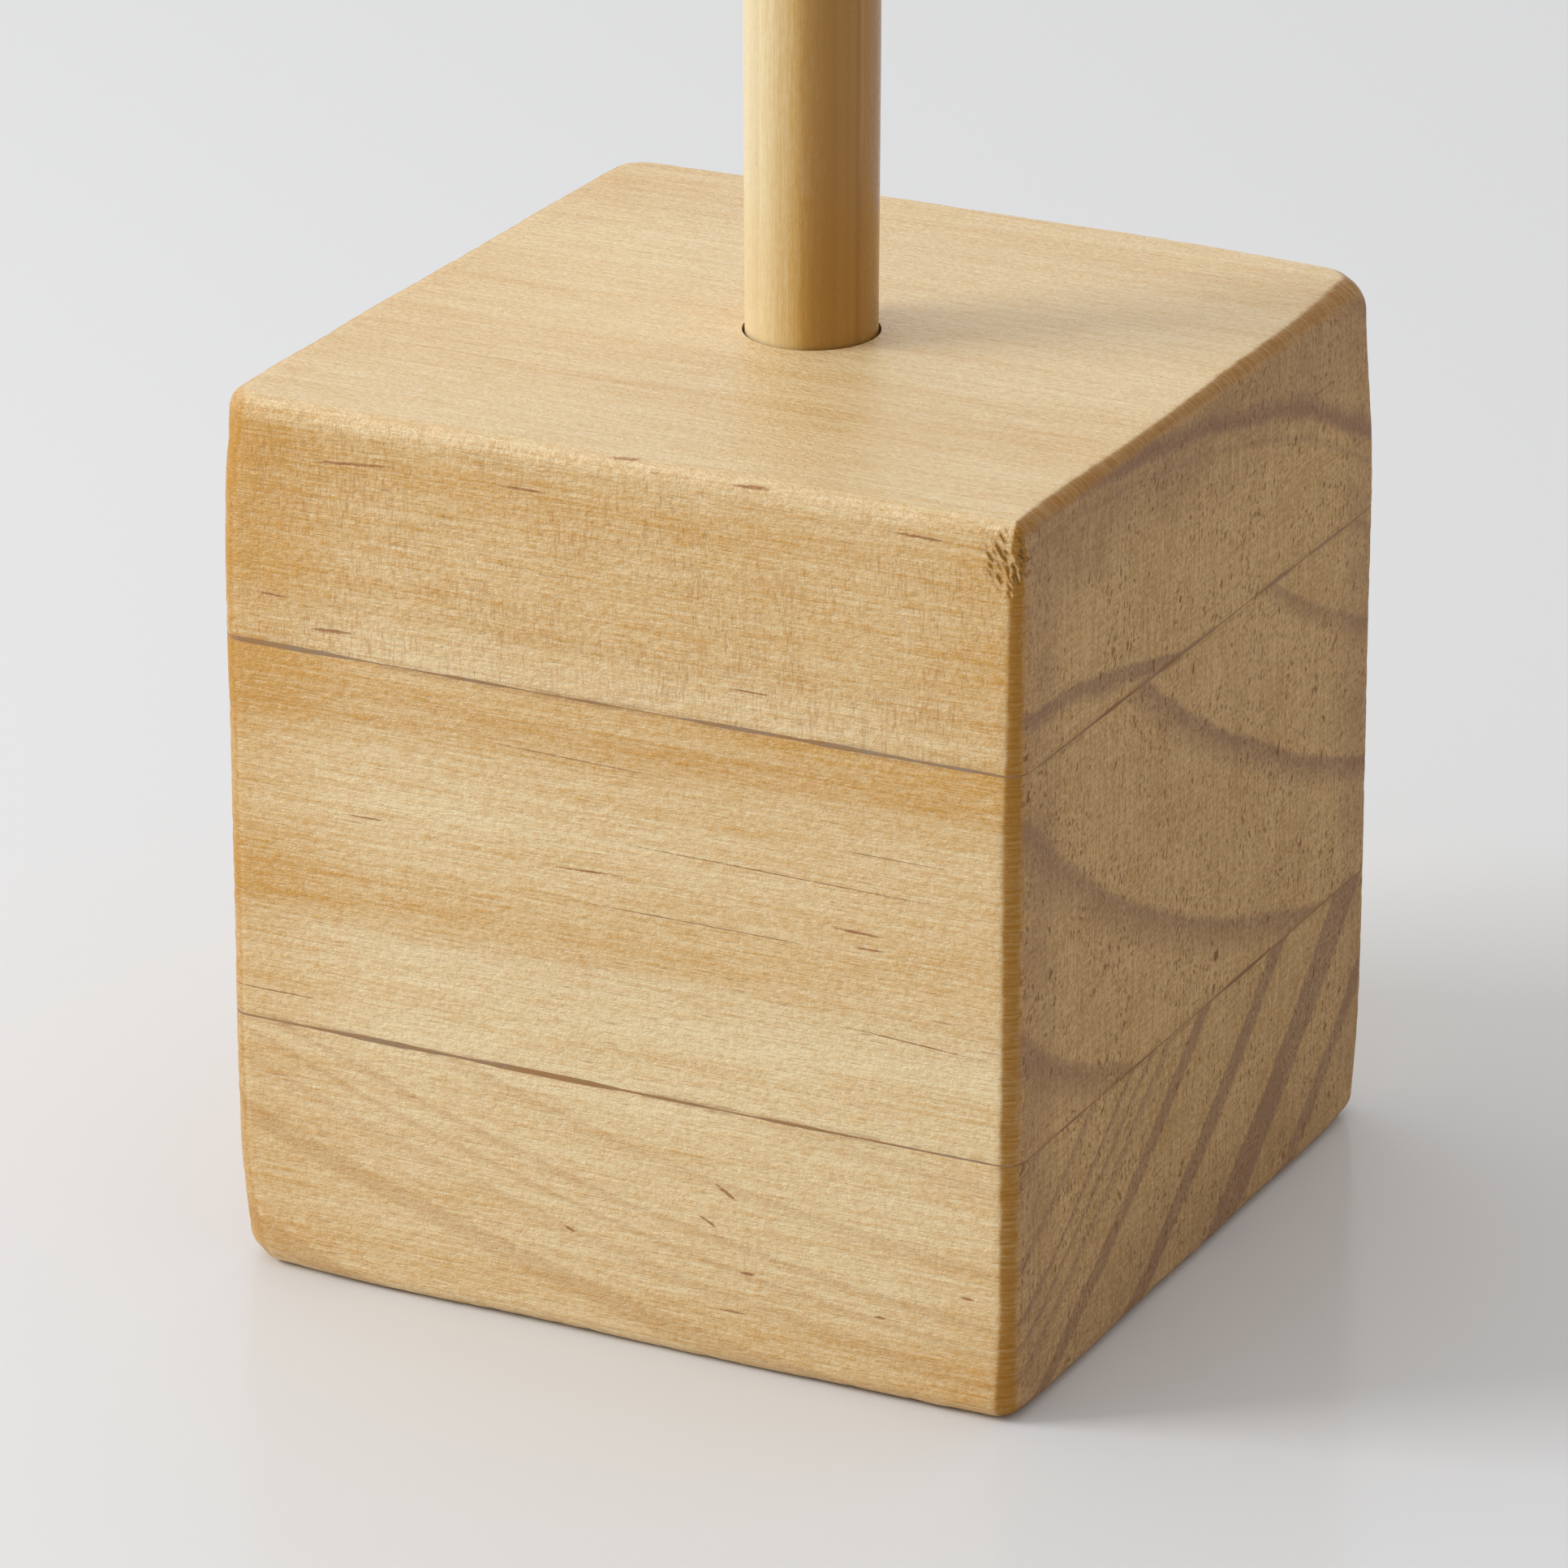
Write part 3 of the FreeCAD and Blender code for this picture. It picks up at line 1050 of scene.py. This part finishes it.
def from_angle(azimuth, elevation, distance):
    """A place round the origin: azimuth 0 is in front, 90 on the right."""
    a, e = math.radians(azimuth), math.radians(elevation)
    return Vector((math.sin(a) * math.cos(e), -math.cos(a) * math.cos(e), math.sin(e))) * distance


def lamp(name, size, power, place, target):
    """A soft square lamp."""
    data = bpy.data.lights.new(name, "AREA")
    data.shape = "SQUARE"
    data.size = size
    data.energy = power
    thing = bpy.data.objects.new(name, data)
    bpy.context.scene.collection.objects.link(thing)
    aim(thing, place, target)


def floor_material():
    """A glossy white table top."""
    material = bpy.data.materials.new("white_table")
    material.use_nodes = True
    shader = material.node_tree.nodes["Principled BSDF"]
    shader.inputs["Base Color"].default_value = (*settings().stage.floor, 1)
    shader.inputs["Roughness"].default_value = TABLE_ROUGHNESS
    shader.inputs["IOR"].default_value = TABLE_IOR
    return material


def studio_world():
    """Soft white room light, brightest behind and to the left of the object."""
    world = bpy.data.worlds.new("studio")
    world.use_nodes = True
    r = Recipe(world.node_tree)
    where = r.node("ShaderNodeTexCoord").outputs["Generated"]
    parts = [
        r.measure("DOT_PRODUCT", where, from_angle(azimuth, elevation, strength))
        for azimuth, elevation, strength in ROOM_LIGHT
    ]
    background = world.node_tree.nodes["Background"]
    r.feed(background.inputs["Strength"], r.sum(*parts, ROOM_MEAN))
    background.inputs["Color"].default_value = (1, 1, 1, 1)
    return world


class TOWELHOLDER_OT_stage(bpy.types.Operator):
    """Build the table, the soft light and the camera"""

    bl_idname = "towel_holder.stage"
    bl_label = "Stage"

    def execute(self, context):
        stage, scene = settings().stage, context.scene
        bm = bmesh.new()
        bmesh.ops.create_grid(bm, x_segments=1, y_segments=1, size=TABLE_HALF)
        mesh = bpy.data.meshes.new("table")
        bm.to_mesh(mesh)
        bm.free()
        table = bpy.data.objects.new("table", mesh)
        scene.collection.objects.link(table)
        mesh.materials.append(floor_material())
        scene.world = studio_world()
        key_place = KEY_TARGET + from_angle(*KEY_ANGLE, KEY_DISTANCE)
        lamp("key", KEY_SIZE, stage.key_power, key_place, KEY_TARGET)
        data = bpy.data.cameras.new("camera")
        data.sensor_width = SENSOR_WIDTH
        data.lens = stage.focal_length
        data.clip_end = FAR_CLIP
        camera = bpy.data.objects.new("camera", data)
        scene.collection.objects.link(camera)
        away = from_angle(stage.azimuth, stage.elevation, stage.distance)
        aim(camera, CAMERA_TARGET + away, CAMERA_TARGET)
        scene.camera = camera
        scene.view_settings.view_transform = "Standard"
        return {"FINISHED"}


# ---------------------------------------------------------------- add-on

OPERATORS = (
    TOWELHOLDER_OT_boards,
    TOWELHOLDER_OT_glue_lines,
    TOWELHOLDER_OT_dowel,
    TOWELHOLDER_OT_stage,
)


class TOWELHOLDER_PT_panel(bpy.types.Panel):
    """Buttons that build the towel holder"""

    bl_idname = "TOWELHOLDER_PT_panel"
    bl_label = "Towel Holder"
    bl_space_type = "VIEW_3D"
    bl_region_type = "UI"
    bl_category = "Towel Holder"

    def draw(self, context):
        for operator in OPERATORS:
            self.layout.operator(operator.bl_idname)


CLASSES = (
    BlockSettings, TimberSettings, GlueSettings, DowelSettings, StageSettings, HolderSettings,
    *OPERATORS, TOWELHOLDER_PT_panel,
)


def register():
    """Add the settings, the operators and the panel."""
    for cls in CLASSES:
        bpy.utils.register_class(cls)
    bpy.types.Scene.towel_holder = PointerProperty(type=HolderSettings)


def unregister():
    """Take them away again."""
    del bpy.types.Scene.towel_holder
    for cls in reversed(CLASSES):
        bpy.utils.unregister_class(cls)


def main():
    """Build the towel holder and its stage."""
    register()
    bpy.ops.towel_holder.boards()
    bpy.ops.towel_holder.glue_lines()
    bpy.ops.towel_holder.dowel()
    bpy.ops.towel_holder.stage()


if __name__ == "__main__":
    main()
